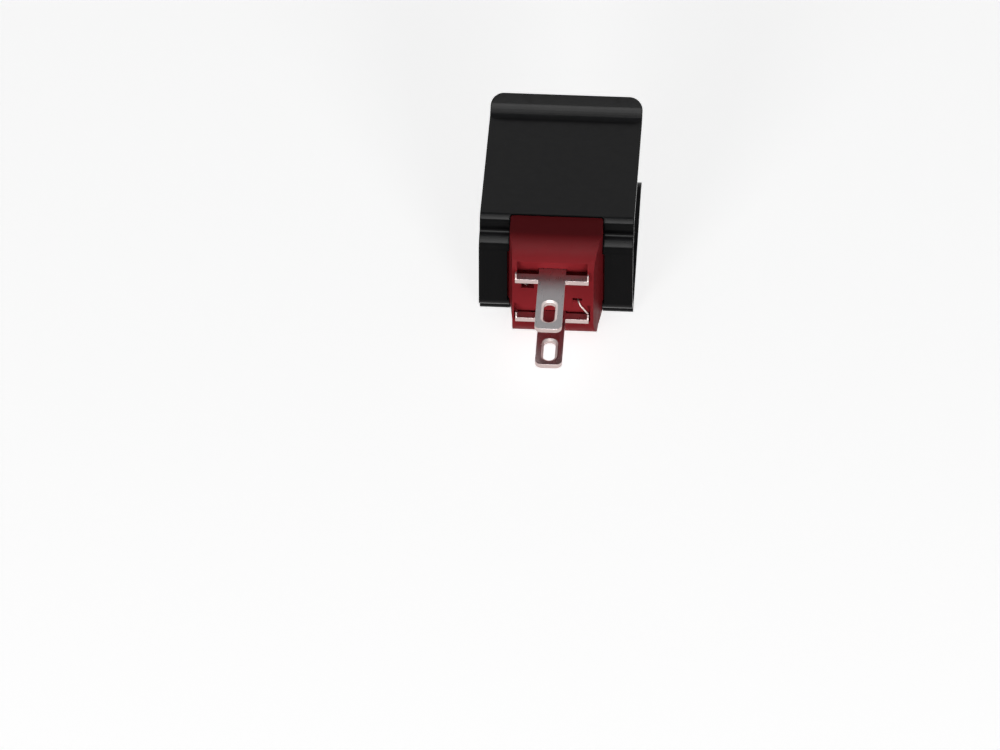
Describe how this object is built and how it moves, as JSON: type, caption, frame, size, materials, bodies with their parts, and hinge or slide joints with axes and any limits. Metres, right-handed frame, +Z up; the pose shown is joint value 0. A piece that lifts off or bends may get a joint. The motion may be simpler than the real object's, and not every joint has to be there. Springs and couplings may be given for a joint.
{
  "type": "clip-on thermistor",
  "caption": "Folded spring strip that snaps over a pipe and holds a moulded sensor housing with flat plug-on tabs in front and a metal contact cup between its jaws.",
  "frame": {"origin": "on the surface that the clip lies on, under the middle of its outline", "axes": "+X across the strip, +Y out of the mouth of the jaws, +Z up from the lower jaw to the upper one"},
  "size_m": [0.016, 0.0352, 0.0124],
  "materials": {
    "coated_spring_steel": "smooth black satin-gloss coating",
    "red_moulding": "deep red moulded plastic with a soft sheen",
    "plated_cup": "drawn cup with bright plating",
    "tinned_terminal": "tinned brass with bright cut edges",
    "bead_coating": "dipped coating",
    "lead_wire": "bare tinned wire",
    "potting": "dull cast compound"
  },
  "bodies": {
    "root": {"spring_clip": "coated_spring_steel", "housing": "red_moulding", "contact_cap": "plated_cup", "terminal_upper": "tinned_terminal", "terminal_lower": "tinned_terminal", "thermistor_bead": "bead_coating", "lead_wire_upper": "lead_wire", "lead_wire_lower": "lead_wire", "potting_fill": "potting"}
  },
  "joints": []
}
